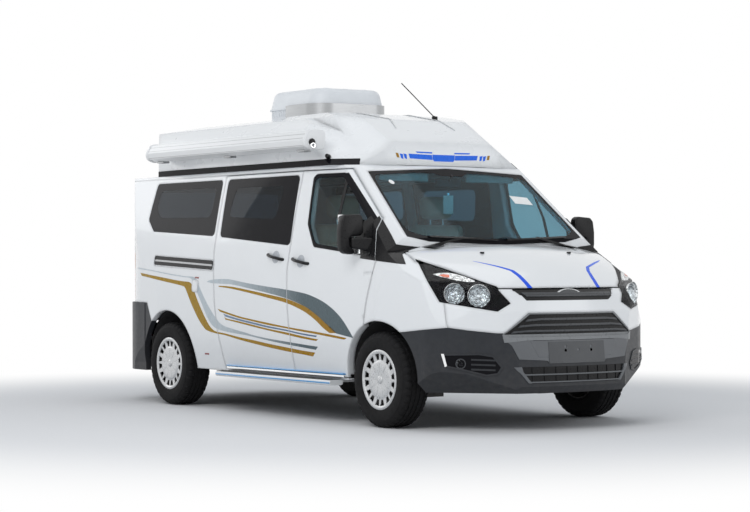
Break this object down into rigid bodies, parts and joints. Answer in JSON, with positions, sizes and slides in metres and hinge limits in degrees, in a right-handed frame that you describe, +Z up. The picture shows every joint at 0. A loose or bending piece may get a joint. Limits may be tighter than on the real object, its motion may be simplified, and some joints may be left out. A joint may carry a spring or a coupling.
{
  "type": "camper van",
  "caption": "High-roof camper van with hinged front doors, bonnet and tailgate, steered rolling wheels, side awning case and rooftop cooler.",
  "frame": {"origin": "on the ground under the middle of the overall length, on the van's centre line", "axes": "+X towards the front bumper, +Y towards the van's left side, +Z up"},
  "size_m": [4.9698, 2.272, 2.5038],
  "materials": {
    "white_paint": "gloss white",
    "roof_shell": "gloss white moulded shell",
    "grey_plastic": "grained dark grey",
    "black_plastic": "satin black",
    "lamp_lens": "clear lens over a black housing",
    "tail_lens": "red lens",
    "privacy_glass": "dark tinted",
    "clear_glass": "light tint",
    "aluminium_case": "satin",
    "chassis_steel": "black coated steel",
    "engine_metal": "plain",
    "exhaust_steel": "dull",
    "black_rubber": "matt",
    "tyre_rubber": "matt",
    "wheel_silver": "satin silver",
    "dash_plastic": "dark grey",
    "seat_fabric": "beige woven",
    "cabinet_wood": "satin"
  },
  "bodies": {
    "root": {"roof_frame": "white_paint", "body_side_right": "white_paint", "body_side_left": "white_paint", "front_wings": "white_paint", "nose_panel": "white_paint", "front_bumper": "grey_plastic", "grilles": "black_plastic", "headlamps": "lamp_lens", "tail_lamps": "tail_lens", "rear_bumper": "grey_plastic", "sliding_door": "white_paint", "side_windows": "privacy_glass", "windscreen": "clear_glass", "high_roof": "roof_shell", "roof_cooler": "roof_shell", "awning": "aluminium_case", "antenna": "black_plastic", "floor_pan": "chassis_steel", "wheel_housings": "chassis_steel", "front_bulkhead": "chassis_steel", "front_subframe": "chassis_steel", "strut_towers": "chassis_steel", "rear_axle": "chassis_steel", "engine": "engine_metal", "fuel_tank": "black_plastic", "exhaust": "exhaust_steel", "door_hinges": "chassis_steel", "side_step": "aluminium_case", "mud_flaps": "black_rubber", "wipers": "black_plastic", "dashboard": "dash_plastic", "cab_seats": "seat_fabric", "kitchen_unit": "cabinet_wood", "rear_bench": "seat_fabric"},
    "steering_wheel": {"steering_wheel": "black_plastic"},
    "bonnet": {"bonnet": "white_paint"},
    "tailgate": {"tailgate": "white_paint", "tailgate_glass": "privacy_glass"},
    "front_door_left": {"front_door_left": "white_paint", "front_door_glass_left": "clear_glass", "mirror_left": "black_plastic"},
    "knuckle_left": {"knuckle_left": "chassis_steel"},
    "wheel_front_left": {"tyre_front_left": "tyre_rubber", "wheel_front_left": "wheel_silver"},
    "wheel_rear_left": {"tyre_rear_left": "tyre_rubber", "wheel_rear_left": "wheel_silver"},
    "front_door_right": {"front_door_right": "white_paint", "front_door_glass_right": "clear_glass", "mirror_right": "black_plastic"},
    "knuckle_right": {"knuckle_right": "chassis_steel"},
    "wheel_front_right": {"tyre_front_right": "tyre_rubber", "wheel_front_right": "wheel_silver"},
    "wheel_rear_right": {"tyre_rear_right": "tyre_rubber", "wheel_rear_right": "wheel_silver"}
  },
  "joints": [
    {"name": "steer_left", "type": "hinge", "parent": "root", "child": "knuckle_left", "pos_m": [1.53, 0.785, 0.235], "axis": [0, -0.2499, 0.9683], "range_deg": [-35, 35]},
    {"name": "roll_front_left", "type": "hinge", "parent": "knuckle_left", "child": "wheel_front_left", "pos_m": [1.53, 0.865, 0.326], "axis": [0, 1, 0], "continuous": true},
    {"name": "roll_rear_left", "type": "hinge", "parent": "root", "child": "wheel_rear_left", "pos_m": [-1.403, 0.865, 0.326], "axis": [0, 1, 0], "continuous": true},
    {"name": "open_front_door_left", "type": "hinge", "parent": "root", "child": "front_door_left", "pos_m": [1.365, 0.965, 1], "axis": [0, 0.0499, -0.9988], "range_deg": [0, 68]},
    {"name": "steer_right", "type": "hinge", "parent": "root", "child": "knuckle_right", "pos_m": [1.53, -0.785, 0.235], "axis": [0, 0.2499, 0.9683], "range_deg": [-35, 35]},
    {"name": "roll_front_right", "type": "hinge", "parent": "knuckle_right", "child": "wheel_front_right", "pos_m": [1.53, -0.865, 0.326], "axis": [0, 1, 0], "continuous": true},
    {"name": "roll_rear_right", "type": "hinge", "parent": "root", "child": "wheel_rear_right", "pos_m": [-1.403, -0.865, 0.326], "axis": [0, 1, 0], "continuous": true},
    {"name": "open_front_door_right", "type": "hinge", "parent": "root", "child": "front_door_right", "pos_m": [1.365, -0.965, 1], "axis": [0, 0.0499, 0.9988], "range_deg": [0, 68]},
    {"name": "turn_steering_wheel", "type": "hinge", "parent": "root", "child": "steering_wheel", "pos_m": [1.215, 0.42, 1.057], "axis": [-0.867, 0, 0.4983], "range_deg": [-525, 525]},
    {"name": "open_bonnet", "type": "hinge", "parent": "root", "child": "bonnet", "pos_m": [1.76, 0, 1.236], "axis": [0, -1, 0], "range_deg": [0, 50]},
    {"name": "open_tailgate", "type": "hinge", "parent": "root", "child": "tailgate", "pos_m": [-2.362, 0, 1.786], "axis": [0, 1, 0], "range_deg": [0, 82]}
  ],
  "couplings": [
    {"joint": "steer_right", "follows": "steer_left", "ratio": 1},
    {"joint": "turn_steering_wheel", "follows": "steer_left", "ratio": 15}
  ]
}
